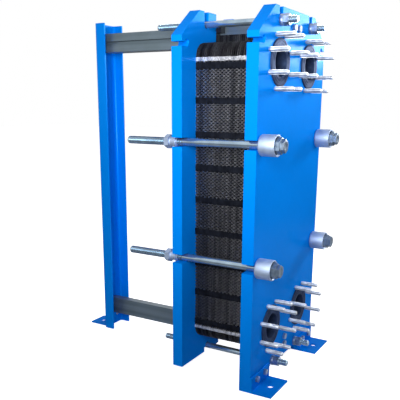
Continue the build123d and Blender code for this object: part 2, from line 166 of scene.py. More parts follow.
sky_links.new(dim.outputs[0], blend.inputs[1])
sky_links.new(white.outputs[0], blend.inputs[2])
sky_links.new(blend.outputs[0], out.inputs["Surface"])
print("world", world.name, "fill", fill_strength)

# %% [markdown]
# The floor is a pale plane, half a millimetre under the feet. To the camera it glows nearly
# white, like the background, and the lamps' light on it is added to the glow, so the machine
# keeps a soft shadow.

# %% Lay the floor
floor_glow = 0.95
bpy.ops.mesh.primitive_plane_add(size=30, location=(0, 0, -0.5 * mm))
floor = bpy.context.object
floor.name = "floor"
bpy.ops.object.transform_apply(location=True, rotation=True, scale=True)
floor_finish = bpy.data.materials.new("pale_floor")
floor_finish.use_nodes = True
floor_shader = floor_finish.node_tree.nodes["Principled BSDF"]
floor_shader.inputs["Base Color"].default_value = (0.9, 0.9, 0.9, 1)
floor_shader.inputs["Roughness"].default_value = 0.7
floor_shader.inputs["Emission Color"].default_value = (1, 1, 1, 1)
floor_nodes = floor_finish.node_tree.nodes
floor_links = floor_finish.node_tree.links
floor_rays = floor_nodes.new("ShaderNodeLightPath")
glow = floor_nodes.new("ShaderNodeMath")
glow.operation = "MULTIPLY"
glow.inputs[1].default_value = floor_glow
floor_links.new(floor_rays.outputs["Is Camera Ray"], glow.inputs[0])
floor_links.new(glow.outputs[0], floor_shader.inputs["Emission Strength"])
floor.data.materials.append(floor_finish)
print("floor", floor.dimensions[:])

# %% [markdown]
# Finishes are built from a few shared steps: a noise for the colour, another for the gloss,
# and a bump. Each takes its pattern from the object's own coordinates, so it stays with the
# piece when the piece moves.

# %% Helpers for a new finish and its noise
def new_finish(name, colour, rough, metal=0.0):
    """A Principled material, with its node tree and its shader."""
    finish = bpy.data.materials.new(name)
    finish.use_nodes = True
    tree = finish.node_tree
    shader = tree.nodes["Principled BSDF"]
    shader.inputs["Base Color"].default_value = (*colour, 1)
    shader.inputs["Roughness"].default_value = rough
    shader.inputs["Metallic"].default_value = metal
    return finish, tree, shader


def add_noise(tree, scale, detail=3.0, stretch=(1, 1, 1)):
    """Noise over the object, in waves per metre, drawn out along an axis by a small factor there."""
    place = tree.nodes.new("ShaderNodeTexCoord")
    mapping = tree.nodes.new("ShaderNodeMapping")
    mapping.inputs["Scale"].default_value = stretch
    noise = tree.nodes.new("ShaderNodeTexNoise")
    noise.inputs["Scale"].default_value = scale
    noise.inputs["Detail"].default_value = detail
    tree.links.new(place.outputs["Object"], mapping.inputs["Vector"])
    tree.links.new(mapping.outputs["Vector"], noise.inputs["Vector"])
    return noise


# %% [markdown]
# A colour ramp turns a noise into a colour between a dark and a light one. Two such colours
# can be multiplied, as when spots lie over broad patches.

# %% Helpers for colour
def tint(tree, noise, dark, light, low=0.35, high=0.65):
    """A colour that the noise runs from dark to light."""
    ramp = tree.nodes.new("ShaderNodeValToRGB")
    ramp.color_ramp.elements[0].position = low
    ramp.color_ramp.elements[0].color = (*dark, 1)
    ramp.color_ramp.elements[1].position = high
    ramp.color_ramp.elements[1].color = (*light, 1)
    tree.links.new(noise.outputs["Fac"], ramp.inputs["Fac"])
    return ramp.outputs["Color"]


def multiply(tree, first, second):
    """The product of two colours."""
    mix = tree.nodes.new("ShaderNodeMix")
    mix.data_type = "RGBA"
    mix.blend_type = "MULTIPLY"
    mix.inputs["Factor"].default_value = 1
    tree.links.new(first, mix.inputs["A"])
    tree.links.new(second, mix.inputs["B"])
    return mix.outputs["Result"]


# %% [markdown]
# Real surfaces are never equally glossy all over, nor perfectly flat. A noise seldom leaves
# the range from 0.3 to 0.7, so that range is stretched over the roughness that is wanted.

# %% Helpers for gloss and bump
def vary_roughness(tree, shader, noise, low, high):
    """The noise runs the roughness from low to high."""
    gloss = tree.nodes.new("ShaderNodeMapRange")
    gloss.inputs["From Min"].default_value = 0.3
    gloss.inputs["From Max"].default_value = 0.7
    gloss.inputs["To Min"].default_value = low
    gloss.inputs["To Max"].default_value = high
    tree.links.new(noise.outputs["Fac"], gloss.inputs["Value"])
    tree.links.new(gloss.outputs["Result"], shader.inputs["Roughness"])


def add_bump(tree, shader, noise, height, strength=0.4):
    """The noise raises the surface by height metres."""
    bump = tree.nodes.new("ShaderNodeBump")
    bump.inputs["Distance"].default_value = height
    bump.inputs["Strength"].default_value = strength
    tree.links.new(noise.outputs["Fac"], bump.inputs["Height"])
    tree.links.new(bump.outputs["Normal"], shader.inputs["Normal"])


def paint(piece, finish):
    """Gives a piece one finish all over."""
    piece.data.materials.clear()
    piece.data.materials.append(finish)


# %% [markdown]
# Blue enamel: sprayed on thick steel plate. The paint holds fine metal flakes, so part of it
# shines in its own blue, and a weak clear coat adds a pale sheen. Broad, faint patches, small
# specks and a slight orange peel keep the large faces from looking flat.

# %% Blue enamel
def make_enamel():
    """Blue paint with a metallic part, a weak clear coat and an uneven surface."""
    finish, tree, shader = new_finish("blue_enamel", (0.0, 0.22, 0.82), 0.35, metal=0.1)
    shader.inputs["Specular IOR Level"].default_value = 0
    shader.inputs["Specular Tint"].default_value = (0.2, 0.65, 1.0, 1)
    shader.inputs["Coat Weight"].default_value = 0.07
    shader.inputs["Coat Roughness"].default_value = 0.2
    patches = tint(tree, add_noise(tree, 4, 2), (0.0, 0.213, 0.79), (0.0, 0.226, 0.83))
    specks = tint(tree, add_noise(tree, 90, 2), (0.98, 0.98, 0.985), (1.0, 1.0, 1.0), 0.4, 0.5)
    tree.links.new(multiply(tree, patches, specks), shader.inputs["Base Color"])
    vary_roughness(tree, shader, add_noise(tree, 20, 2), 0.33, 0.38)
    add_bump(tree, shader, add_noise(tree, 260, 2), 0.0002, 0.06)
    return finish


enamel = make_enamel()
print(enamel.name)

# %% [markdown]
# The fasteners are steel with a bluish zinc plating. The ground shanks are smooth and
# mirror-like, the cups and collars satin, the nuts and screws cloudy, the bolt heads darker,
# and the studs pale. One function makes them all from their brightness, gloss and grain.

# %% Plated steel
def make_plating(name, dark, light, rough, cloud, grain=0.0, metal=1.0):
    """Zinc-plated steel, cloudy between dark and light, with a roughness range and a fine grain."""
    finish, tree, shader = new_finish(name, light, rough[0], metal)
    clouds = tint(tree, add_noise(tree, cloud, 4), dark, light, 0.3, 0.7)
    tree.links.new(clouds, shader.inputs["Base Color"])
    vary_roughness(tree, shader, add_noise(tree, 2 * cloud, 3), *rough)
    if grain:
        add_bump(tree, shader, add_noise(tree, 700, 2), grain, 0.35)
    return finish


cast_grain = 0.0002
ground_steel = make_plating("ground_steel", (0.27, 0.36, 0.45), (0.42, 0.54, 0.64), (0.14, 0.22),
                            cloud=25, metal=0.85)
satin_zinc = make_plating("satin_zinc", (0.34, 0.42, 0.57), (0.41, 0.50, 0.66), (0.54, 0.62),
                          cloud=40, grain=cast_grain, metal=0.9)
bright_zinc = make_plating("bright_zinc", (0.21, 0.27, 0.36), (0.44, 0.52, 0.64), (0.3, 0.42),
                           cloud=90, metal=0.9)
head_zinc = make_plating("head_zinc", (0.13, 0.18, 0.25), (0.24, 0.31, 0.40), (0.34, 0.46),
                         cloud=70, grain=cast_grain, metal=0.85)
stud_steel = make_plating("stud_steel", (0.50, 0.53, 0.57), (0.85, 0.88, 0.92), (0.3, 0.42), cloud=80)
plated_steels = (ground_steel, satin_zinc, bright_zinc, head_zinc, stud_steel)
print("plated steels", [finish.name for finish in plated_steels])

# %% [markdown]
# The bars are drawn steel under a thin oil film: grey, with faint lines along them.

# %% Drawn steel
def make_drawn_steel():
    """Grey steel with lines drawn out along Y, under broad oil stains."""
    finish, tree, shader = new_finish("drawn_steel", (0.16, 0.19, 0.21), 0.38, metal=0.6)
    fine_lines = add_noise(tree, 60, 3, stretch=(1, 0.02, 1))
    lines = tint(tree, fine_lines, (0.11, 0.15, 0.18), (0.165, 0.215, 0.26))
    stains = tint(tree, add_noise(tree, 9, 4), (0.82, 0.84, 0.80), (1, 1, 1), 0.35, 0.6)
    tree.links.new(multiply(tree, lines, stains), shader.inputs["Base Color"])
    vary_roughness(tree, shader, add_noise(tree, 40, 3, stretch=(1, 0.1, 1)), 0.32, 0.42)
    return finish


drawn_steel = make_drawn_steel()
print(drawn_steel.name)

# %% [markdown]
# The heat plates are thin stainless sheet. Each is a little lighter or darker than the next,
# so one noise is drawn out along the height and only changes from sheet to sheet. A finer
# one gives bright and dull spots. The flat parts are dark, which is painted shade over the
# pack's rounded top and bottom corners; the pressed waves are lighter; and the folded lips
# are lightest, which is a painted highlight where the pack's sides meet its rounded corners.

# %% Stainless sheet
def make_sheet(name, dark, light, rough, metal=0.9):
    """Stainless sheet that differs from one sheet to the next between dark and light."""
    finish, tree, shader = new_finish(name, light, rough[0], metal)
    per_sheet = tint(tree, add_noise(tree, 90, 2, stretch=(0.2, 1, 0.02)), dark, light)
    spots = tint(tree, add_noise(tree, 260, 3), (0.4, 0.4, 0.42), (1, 1, 1), 0.35, 0.65)
    tree.links.new(multiply(tree, per_sheet, spots), shader.inputs["Base Color"])
    vary_roughness(tree, shader, add_noise(tree, 200, 2), *rough)
    return finish


# The flat sheets are dark: painted shade over the pack's rounded top and bottom corners.
shade_painted_sheet = make_sheet("shade_painted_sheet", (0.05, 0.05, 0.06), (0.26, 0.26, 0.28), (0.35, 0.5))
pressed_sheet = make_sheet("pressed_sheet", (0.19, 0.195, 0.22), (0.55, 0.55, 0.60), (0.28, 0.45))
# The lips' light finish is a painted highlight where the pack's sides meet its corners.
highlight_painted_sheet = make_sheet("highlight_painted_sheet", (0.45, 0.47, 0.52), (0.80, 0.82, 0.86), (0.3, 0.4), metal=0.5)
print("sheets", shade_painted_sheet.name, pressed_sheet.name, highlight_painted_sheet.name)

# %% [markdown]
# Black rubber for the gaskets and for the liners of the ports, and black plastic for the
# shoes. The liners' rubber is tinted blue-grey, a painted reflection of the blue plate on it.
# All have a faint bloom and a fine moulded grain.

# %% Rubber and plastic
def make_rubber(name, dark, light, rough, gloss, metal=0.0):
    """Rubber or plastic that clouds between dark and light, with a cool gloss."""
    finish, tree, shader = new_finish(name, dark, rough[0], metal)
    shader.inputs["Specular IOR Level"].default_value = gloss
    shader.inputs["Specular Tint"].default_value = (0.5, 0.65, 1.0, 1)
    tree.links.new(tint(tree, add_noise(tree, 70, 4), dark, light), shader.inputs["Base Color"])
    vary_roughness(tree, shader, add_noise(tree, 160, 2), *rough)
    add_bump(tree, shader, add_noise(tree, 900, 2), 0.0002, 0.3)
    return finish


gasket_rubber = make_rubber("gasket_rubber", (0.003, 0.003, 0.004), (0.009, 0.010, 0.014), (0.5, 0.65),
                            gloss=0.1)
# The liners' blue tint is a painted reflection of the blue plate on dark rubber.
liner_rubber = make_rubber("liner_rubber", (0.018, 0.030, 0.070), (0.028, 0.046, 0.100), (0.46, 0.54),
                           gloss=0.1, metal=0.3)
black_plastic = make_rubber("black_plastic", (0.012, 0.012, 0.014), (0.022, 0.022, 0.025), (0.35, 0.5),
                            gloss=0.3)
print("rubbers", gasket_rubber.name, liner_rubber.name, black_plastic.name)

# %% [markdown]
# An operator works on all that is selected, so each piece starts from a clean selection. Each
# ends with its doubles merged and its faces turned outwards, and with its place in its mesh.

# %% Helpers to start and to finish a piece
same_point = 0.01 * mm
smooth_below = math.radians(30)


def start_clean():
    """Leaves edit mode and deselects everything, so that the next operator acts on one piece."""
    if bpy.context.object and bpy.context.object.mode == "EDIT":
        bpy.ops.object.mode_set(mode="OBJECT")
    bpy.ops.object.select_all(action="DESELECT")


def close_up():
    """Merges doubles and turns the faces outwards, in edit mode, then leaves it."""
    bpy.ops.mesh.select_all(action="SELECT")
    bpy.ops.mesh.remove_doubles(threshold=same_point)
    bpy.ops.mesh.normals_make_consistent(inside=False)
    bpy.ops.object.mode_set(mode="OBJECT")


def settle(piece):
    """Puts the piece's place into its mesh and smooths its shading across shallow edges."""
    start_clean()
    piece.select_set(True)
    bpy.context.view_layer.objects.active = piece
    bpy.ops.object.transform_apply(location=True, rotation=True, scale=True)
    bpy.ops.object.shade_smooth_by_angle(angle=smooth_below)
    return piece


# %% [markdown]
# Turned pieces, such as cups, collars and liners, are made as on a lathe. A ring of edges
# stands at the first depth, and each step extrudes it to the next depth and scales it to the
# next radius. If the last step is the first again, the doubles merge and the wall closes.
# Otherwise both ends are filled.

# %% A helper for turned pieces
def turned(name, centre, steps, segments=40):
    """A lathe piece along Y at (x, z) from rings of (depth, radius), all in millimetres."""
    start_clean()
    x, z = centre[0] * mm, centre[1] * mm
    depth, radius = steps[0]
    bpy.ops.mesh.primitive_circle_add(
        vertices=segments, radius=radius * mm, location=(x, at(depth), z),
        rotation=(math.pi / 2, 0, 0), fill_type="NOTHING", enter_editmode=True)
    piece = bpy.context.object
    piece.name = name
    bpy.ops.mesh.select_all(action="SELECT")
    for next_depth, next_radius in steps[1:]:
        shift = (next_depth - depth) * mm
        scale = next_radius / radius
        bpy.ops.mesh.extrude_edges_move(TRANSFORM_OT_translate={"value": (0, shift, 0)})
        bpy.ops.transform.resize(value=(scale, 1, scale), center_override=(x, at(next_depth), z))
        depth, radius = next_depth, next_radius
    if steps[0] != steps[-1]:
        bpy.ops.mesh.edge_face_add()
        bpy.ops.mesh.select_all(action="DESELECT")
        bpy.ops.mesh.select_non_manifold(extend=False)
        bpy.ops.mesh.edge_face_add()
    close_up()
    return piece


# %% [markdown]
# What repeats is modelled once, at the first place, and then copied to the others. The
# copies are joined into one object, because they move together and share one finish.

# %% Helpers for joining and copying
def joined(name, pieces):
    """One object made of several."""
    start_clean()
    for piece in pieces:
        piece.select_set(True)
    bpy.context.view_layer.objects.active = pieces[0]
    bpy.ops.object.join()
    whole = bpy.context.object
    whole.name = name
    return settle(whole)


def copied(name, piece, moves):
    """The piece at each of several moves (x, depth, z) in millimetres, as one object."""
    copies = []
    for move in moves:
        start_clean()
        piece.select_set(True)
        bpy.context.view_layer.objects.active = piece
        bpy.ops.object.duplicate()
        bpy.ops.transform.translate(value=Vector(move) * mm)
        copies.append(bpy.context.object)
    bpy.data.objects.remove(piece)
    return joined(name, copies)


# %% [markdown]
# Some shapes come from a modifier, such as a cut by another piece or a row of copies. It is
# applied at once, so that the finished piece is plain mesh.

# %% A helper for modifiers
def apply_modifier(piece, kind, **settings):
    """Adds one modifier, sets it and applies it."""
    start_clean()
    piece.select_set(True)
    bpy.context.view_layer.objects.active = piece
    bpy.ops.object.modifier_add(type=kind)
    modifier = piece.modifiers[-1]
    for key, value in settings.items():
        setattr(modifier, key, value)
    bpy.ops.object.modifier_apply(modifier=modifier.name)
    return piece


# %% [markdown]
# A machined hexagon has its corners cut back by a shallow cone, which leaves a curved edge
# on each flat. So a six-sided prism is crossed with a turned disc whose rims are bevelled,
# and what both hold is kept. A nut is then bored, with a small countersink at each end.

# %% A helper for hexagons
face_share = 0.49
cone_slope = 0.45
countersink = 0.9


def hexagon(name, centre, start, height, flats, bore=0, chamfered="both"):
    """A nut or head: a hexagon with cut-back corners, from a depth, with a bore if it is a nut."""
    start_clean()
    x, z = centre[0] * mm, centre[1] * mm
    corner = flats / math.sqrt(3)
    past_corner = corner + 0.05
    bpy.ops.mesh.primitive_cylinder_add(
        vertices=6, radius=corner * mm, depth=height * mm,
        location=(x, at(start + height / 2), z), rotation=(math.pi / 2, 0, 0))
    piece = bpy.context.object
    piece.name = name
    end = start + height
    face = face_share * flats
    slope = (corner - face) * cone_slope
    front = [(start, face), (start + slope, past_corner)]
    rear = [(end - slope, past_corner), (end, face)]
    if chamfered == "front":
        rear = [(end, past_corner)]
    if chamfered == "rear":
        front = [(start, past_corner)]
    cutter = turned("cone", centre, front + rear, segments=48)
    apply_modifier(piece, "BOOLEAN", operation="INTERSECT", object=cutter, solver="EXACT")
    bpy.data.objects.remove(cutter)
    if bore:
        drill = turned("drill", centre, [
            (start - 1, bore + countersink), (start + countersink, bore),
            (end - countersink, bore), (end + 1, bore + countersink)], segments=32)
        apply_modifier(piece, "BOOLEAN", operation="DIFFERENCE", object=drill, solver="EXACT")
        bpy.data.objects.remove(drill)
    return piece


# %% [markdown]
# A thread is a small three-sided ridge that climbs round the bolt. A triangle is drawn at
# the surface, sunk a little into it, and the Screw modifier turns it once for each pitch of
# length. Its two ends are filled, and it sits on a plain turned core.

# %% A helper for threads
def thread(name, centre, start, end, radius, pitch, steps=12):
    """A ridge wound round the Y axis at (x, z), between two depths in millimetres."""
    start_clean()
    x, z = centre[0] * mm, centre[1] * mm
    height = 0.5 * pitch
    sunk = 0.35 * height
    bpy.ops.mesh.primitive_circle_add(
        vertices=3, radius=height * mm, location=(x, at(start), z), rotation=(0, 0, 0))
    ridge = bpy.context.object
    ridge.name = name
    bpy.ops.object.mode_set(mode="EDIT")
    bpy.ops.mesh.select_all(action="SELECT")
    bpy.ops.transform.translate(value=((radius - sunk) * mm, 0, 0))
    bpy.ops.object.mode_set(mode="OBJECT")
    turns = int((end - start) / pitch) - 1
    apply_modifier(ridge, "SCREW", axis="Y", angle=math.tau, screw_offset=pitch * mm,
                   iterations=turns, steps=steps, render_steps=steps, use_normal_calculate=True)
    bpy.ops.object.mode_set(mode="EDIT")
    bpy.ops.mesh.select_all(action="SELECT")
    bpy.ops.mesh.fill_holes(sides=3)
    close_up()
    return ridge


# %% [markdown]
# The side tie bolts squeeze the machine. Each has a head with a large and a small hexagon,
# a plain shank, and a fine thread at the rear that the collar nut runs on. Its end is
# bevelled, so that the nut starts easily. The small hexagon has a shallow dimple, as a forged
# head has.

# %% Side tie bolts
shank_radius = 11
shank_front = -34
thread_pitch = 1.5
thread_front = 232
small_head = {"height": 10, "flats": 31}
large_head = {"height": 25.5, "flats": 38}
head_overlap = 0.5
bolt_corners = ["upper_left", "upper_right", "lower_left", "lower_right"]


def tie_bolt(corner):
    """Makes one side tie bolt at the place of its solid, and gives its centre line's (x, z)."""
    low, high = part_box(f"{corner}_tie_bolt")
    centre = ((low.x + high.x) / 2 / mm, (low.z + high.z) / 2 / mm)
    front = depth_of(low.y)
    rear = depth_of(high.y)
    root = shank_radius - 0.5
    shank = turned("shank", centre, [
        (shank_front, shank_radius), (thread_front, shank_radius), (thread_front + 1, root),
        (rear - 2, root), (rear, root - 2)])
    ridge = thread("ridge", centre, thread_front + 2, rear - 2, shank_radius - 0.3, thread_pitch)
    large_front = front + small_head["height"] - head_overlap
    large = hexagon("large_head", centre, large_front, **large_head, chamfered="front")
    small = hexagon("small_head", centre, front, **small_head, chamfered="front")
    dimple = turned("dimple", centre, [
        (front - 1, 10.5), (front + 0.8, 10.5), (front + 1.6, 7), (front + 1.8, 2)], segments=32)
    apply_modifier(small, "BOOLEAN", operation="DIFFERENCE", object=dimple, solver="EXACT")
    bpy.data.objects.remove(dimple)
    for piece in (large, small):
        paint(piece, head_zinc)
    for piece in (shank, ridge):
        paint(piece, ground_steel)
    bolt = joined(f"{corner}_bolt_detail", [shank, ridge, large, small])
    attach(bolt, f"{corner}_bolt")
    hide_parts(f"{corner}_tie_bolt")
    return centre


side_centres = [tie_bolt(corner) for corner in bolt_corners]
print("side bolts", side_centres)

# %% [markdown]
# Each bolt head turns in a cast cup with a thick floor, a well-rounded rear edge and a mouth
# that flares a little. The profile runs from the bolt's hole out and round to the hole again.
# One cup is turned, and three copies are moved to the other bolts.

# %% Bearing cups
cup_radius = 28
cup_length = 47
cup_floor = 12
cup_bore = 23
bolt_hole = 11.6
first_x, first_z = side_centres[0]
side_moves = [(x - first_x, 0, z - first_z) for x, z in side_centres]
cup = turned("cup", side_centres[0], [
    (0, bolt_hole), (0, 22.5), (-0.5, 24.6), (-1.7, 26.4), (-3.4, 27.6), (-5.6, cup_radius),
    (1.4 - cup_length, cup_radius), (0.4 - cup_length, 27.6), (-cup_length, 26.8), (-cup_length, 25.4),
    (0.5 - cup_length, 24.8), (3.5 - cup_length, cup_bore), (-cup_floor, cup_bore),
    (-cup_floor, bolt_hole), (0, bolt_hole)], segments=56)
cups = copied("bearing_cup_set", cup, side_moves)
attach(cups, "frame")
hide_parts("bearing_cups")
paint(cups, satin_zinc)
print("cups", len(cups.data.polygons))

# %% [markdown]
# Behind the pressure plate each bolt carries a collar nut: a short spigot that drops into the
# slot, a waisted collar, and a hexagon for the spanner. The collar's profile is written in
# depths behind the plate's rear face.

# %% Collar nuts
nut_bore = 11.3
spigot = {"reach": 5, "radius": 12.2}
waist_radius = 13.4
rim_radius = 15
spanner_start = 20
collar_profile = [
    (-spigot["reach"], nut_bore), (-spigot["reach"], spigot["radius"]), (0, spigot["radius"]), (0, 14.4),
    (0.6, rim_radius), (4.4, rim_radius), (5.2, 14.3), (6.2, waist_radius), (16, waist_radius),
    (17, 14.3), (17.8, rim_radius), (spanner_start + 0.2, rim_radius), (spanner_start + 0.2, nut_bore),
    (-spigot["reach"], nut_bore)]
collar_steps = [(pressure_rear + back, radius) for back, radius in collar_profile]
collar = turned("collar", side_centres[0], collar_steps)
spanner_end = hexagon("spanner_end", side_centres[0], pressure_rear + spanner_start,
                      height=15, flats=34, bore=nut_bore)
collar_nuts = copied("collar_nut_set", joined("collar_nut", [collar, spanner_end]), side_moves)
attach(collar_nuts, "pressure_plate")
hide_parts("side_collar_nuts")
paint(collar_nuts, satin_zinc)
print("collar nuts", len(collar_nuts.data.polygons))

# %% [markdown]
# The top and bottom tie rods are plain bars with a thread at each end. The nut in front
# holds them to the frame plate, and the nut behind bears on the pressure plate.

# %% Top and bottom tie rods
plain_start = 7
plain_end = 226


def tie_rods(row, flats):
    """Two rods, their front nuts and their rear nuts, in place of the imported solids."""
    low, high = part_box(f"{row}_tie_rods")
    radius = (high.z - low.z) / 2 / mm
    root = radius - 0.5
    front = depth_of(low.y)
    rear = depth_of(high.y)
    centre = (high.x / mm - radius, (low.z + high.z) / 2 / mm)
    across = [(0, 0, 0), (-2 * centre[0], 0, 0)]
    bar = turned("bar", centre, [
        (front, root - 2), (front + 2, root), (plain_start - 1, root), (plain_start, radius),
        (plain_end, radius), (plain_end + 1, root), (rear - 2, root), (rear, root - 2)])
    front_ridge = thread("front_ridge", centre, front + 2, plain_start - 2, radius - 0.3, thread_pitch)
    rear_ridge = thread("rear_ridge", centre, plain_end + 2, rear - 2, radius - 0.3, thread_pitch)
    rods = copied(f"{row}_rod_pair", joined("rod", [bar, front_ridge, rear_ridge]), across)
    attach(rods, "frame")
    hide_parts(f"{row}_tie_rods")
    paint(rods, ground_steel)
    for end, body in (("front", "frame"), ("rear", "pressure_plate")):
        nut_low, nut_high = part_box(f"{row}_{end}_nuts")
        start = depth_of(nut_low.y)
        height = (nut_high.y - nut_low.y) / mm
        nut = hexagon("nut", centre, start, height, flats, bore=radius + 0.2)
        nuts = copied(f"{row}_{end}_nut_pair", nut, across)
        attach(nuts, body)
        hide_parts(f"{row}_{end}_nuts")
        paint(nuts, bright_zinc)
    print(row, "rods at", centre, "from", front, "to", rear)


tie_rods("top", flats=27)
tie_rods("bottom", flats=26)

# %% [markdown]
# Every port has a ring of studs for a pipe flange. A stud is a threaded bar with a rounded
# tip. The record says where the rings are, how large each is and how many studs it has. One
# stud is modelled at the first of these places, and the rest are copies.

# %% Port studs
stud_core_radius = 5.45
stud_thread_radius = 5.75
stud_pitch = 1.75
stud_rings = [mount for mount in frame["record"]["mounts"] if mount["name"].endswith("port_studs")]
stud_front = depth_of(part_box("port_studs")[0].y)
stud_places = []
for ring in stud_rings:
    count = ring["dims"]["count"]
    ring_radius = ring["dims"]["pcd_mm"] / 2
    for number in range(count):
        angle = math.tau * (number + 0.5) / count
        x = ring["pos_m"][0] / mm + ring_radius * math.cos(angle)
        z = ring["pos_m"][2] / mm + ring_radius * math.sin(angle)
        stud_places.append((x, z))

stud_x, stud_z = stud_places[0]
stud_core = turned("stud_core", stud_places[0], [
    (stud_front, 2.2), (stud_front + 0.4, 3.8), (stud_front + 1.6, 5.2),
    (stud_front + 3, stud_core_radius), (0.5, stud_core_radius)], segments=24)
stud_ridge = thread("stud_ridge", stud_places[0], stud_front + 3, 0, stud_thread_radius, stud_pitch,
                    steps=10)
one_stud = joined("stud", [stud_core, stud_ridge])
studs = copied("port_stud_set", one_stud, [(x - stud_x, 0, z - stud_z) for x, z in stud_places])
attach(studs, "frame")
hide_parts("port_studs")
paint(studs, stud_steel)
print("studs", len(stud_places), "faces", len(studs.data.polygons))

# %% [markdown]
# A rubber liner lines each port through the plate, and its flange seals against the pipe. Two
# shallow grooves in the flange's face help it to grip. The profile starts at the liner's inner
# end, runs forward along the bore, out across the face and back along the outside.

# %% Port liners
liner_bore = 37
liner_outer = 41
liner_end = depth_of(plate_high.y)
flange_radius = 62
flange_face = -4
groove_floor = flange_face + 0.8
grooves = []
for groove in (46, 54):
    grooves += [(flange_face, groove - 1.4), (groove_floor, groove - 1),
                (groove_floor, groove + 1), (flange_face, groove + 1.4)]

port_places = [(ring["pos_m"][0] / mm, ring["pos_m"][2] / mm) for ring in stud_rings]
liner = turned("liner", port_places[0], [
    (liner_end, liner_bore), (-3, liner_bore), (-3.7, 37.4), (flange_face, 38.2), *grooves,
    (flange_face, 60.8), (-3.6, 61.7), (-2.8, flange_radius), (0, flange_radius), (0, liner_outer),
    (liner_end, liner_outer), (liner_end, liner_bore)], segments=72)
liner_moves = [(x - port_places[0][0], 0, z - port_places[0][1]) for x, z in port_places]
liners = copied("port_liner_set", liner, liner_moves)
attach(liners, "frame")
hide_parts("port_liners")
paint(liners, liner_rubber)
print("liners", len(port_places))

# %% [markdown]
# Hexagon screws hold the bars, the feet and the column. All are one size, so one function
# makes a set: a head on one side, a plain shank through the joint, and a thread at its end.

# %% A helper for hexagon screws
screw_radius = 5
screw_root = 4.6
screw_head = 7
screw_flats = 17
screw_thread = 13
screw_tip = 1.5


def screw_set(name, node, centres, head_side):
    """Screws along Y at the centres, with their heads at the front or the rear of the node's box."""
    low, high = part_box(node)
    front = depth_of(low.y)
    rear = depth_of(high.y)
    if head_side == "front":
        head_start = front
        stem_profile = [
            (front + screw_head - 1, screw_radius), (rear - screw_thread - 1, screw_radius),
            (rear - screw_thread, screw_root), (rear - screw_tip, screw_root),
            (rear, screw_root - screw_tip)]
        ridge_ends = (rear - screw_thread, rear - 1)
    else:
        head_start = rear - screw_head
        stem_profile = [
            (front, screw_root - screw_tip), (front + screw_tip, screw_root),
            (front + screw_thread, screw_root), (front + screw_thread + 1, screw_radius),
            (head_start + 1, screw_radius)]
        ridge_ends = (front + 2, front + screw_thread)
    bolt_head = hexagon("bolt_head", centres[0], head_start, screw_head, screw_flats, chamfered=head_side)
    stem = turned("stem", centres[0], stem_profile, segments=24)
    ridge = thread("ridge", centres[0], *ridge_ends, screw_radius - 0.2, thread_pitch, steps=10)
    first = joined("screw", [bolt_head, stem, ridge])
    screws = copied(name, first, [(x - centres[0][0], 0, z - centres[0][1]) for x, z in centres])
    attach(screws, "frame")
    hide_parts(node)
    paint(screws, bright_zinc)
    print(name, len(centres))


# %% [markdown]
# The carrying bar has its two screws side by side, the narrow guide bar has them one above
# the other, and every foot has two side by side. Their places follow from the bars and feet.

# %% Place the screws
below_bar_top = 15
bar_spread = 17
guide_spread = 11.5
foot_spread = 27
foot_screw_height = 31
bar_screw_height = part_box("carrying_bar")[1].z / mm - below_bar_top
guide_middle = (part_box("guide_bar")[0].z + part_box("guide_bar")[1].z) / 2 / mm
foot_middle = (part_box("right_foot")[0].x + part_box("right_foot")[1].x) / 2 / mm
bar_screws = [(-bar_spread, bar_screw_height), (bar_spread, bar_screw_height)]
bar_screws += [(0, guide_middle - guide_spread), (0, guide_middle + guide_spread)]
foot_screws = [
    (side * foot_middle + aside, foot_screw_height)
    for side in (-1, 1) for aside in (-foot_spread, foot_spread)]
screw_set("bar_screw_set", "frame_bar_screws", bar_screws, "front")
screw_set("column_screw_set", "column_bar_screws", bar_screws, "rear")
screw_set("foot_screw_set", "foot_screws", foot_screws, "front")
screw_set("column_foot_screw_set", "column_foot_screws", [(-18, 34), (18, 34)], "rear")

# %% [markdown]
# The heat plates' long edges are pressed into waves, and neighbouring sheets have their waves
# out of step, so that the crests rest on each other and the side of the pack looks like a
# honeycomb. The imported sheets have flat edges. Here a copy of them is cut across at two
# heights, the flat edge between is drawn in, and a wavy strip takes its place. A second cut
# beside each keeps the step in the edge short.

# %% Draw in the flat edges of a packet's sheets
sheet_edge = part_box("front_heat_plates")[1].x / mm
sheet_count = 10
plate_pitch = 6.24
sheet_thickness = 0.8
wave_bottom = 140
wave_top = 894
drawn_in = 8
cut_step = 0.5
margin = 0.1


def plain_sheets(packet):
    """A copy of the packet's ten sheets, with their long edges drawn in where the waves go."""
    start_clean()
    mesh = nodes[f"{packet}_heat_plates"].data.copy()
    sheets = bpy.data.objects.new(f"{packet}_sheets", mesh)
    bpy.context.scene.collection.objects.link(sheets)
    bpy.context.view_layer.objects.active = sheets
    sheets.select_set(True)
    bpy.ops.object.mode_set(mode="EDIT")
    bpy.ops.mesh.select_all(action="SELECT")
    bpy.ops.mesh.remove_doubles(threshold=same_point)
    for height in (wave_bottom - cut_step, wave_bottom, wave_top, wave_top + cut_step):
        bpy.ops.mesh.select_all(action="SELECT")
        bpy.ops.mesh.bisect(plane_co=(0, 0, height * mm), plane_no=(0, 0, 1))
    for side in (-1, 1):
        bpy.ops.mesh.select_all(action="DESELECT")
        bpy.ops.object.mode_set(mode="OBJECT")
        for corner in mesh.vertices:
            inside = (wave_bottom - margin) * mm < corner.co.z < (wave_top + margin) * mm
            corner.select = inside and side * corner.co.x > (sheet_edge - cut_step) * mm
        bpy.ops.object.mode_set(mode="EDIT")
        bpy.ops.transform.translate(value=(-side * drawn_in * mm, 0, 0))
    bpy.ops.object.mode_set(mode="OBJECT")
    return sheets


# %% [markdown]
# One wave is a strip of four faces. Of its five rows of points, those at a half and at three
# quarters of the wave are pushed forward by the gap between two sheets. An Array repeats the
# wave up the sheet, Solidify gives the thickness, and Mirror makes the other edge.

# %% Model a pair of wavy edges
wave_length = 9.5
wave_count = 80
crest_gap = 0.24
wave_depth = plate_pitch - sheet_thickness - crest_gap
wave_start = wave_bottom - 4
strip_overlap = 0.8
strip_inner = sheet_edge - drawn_in - strip_overlap


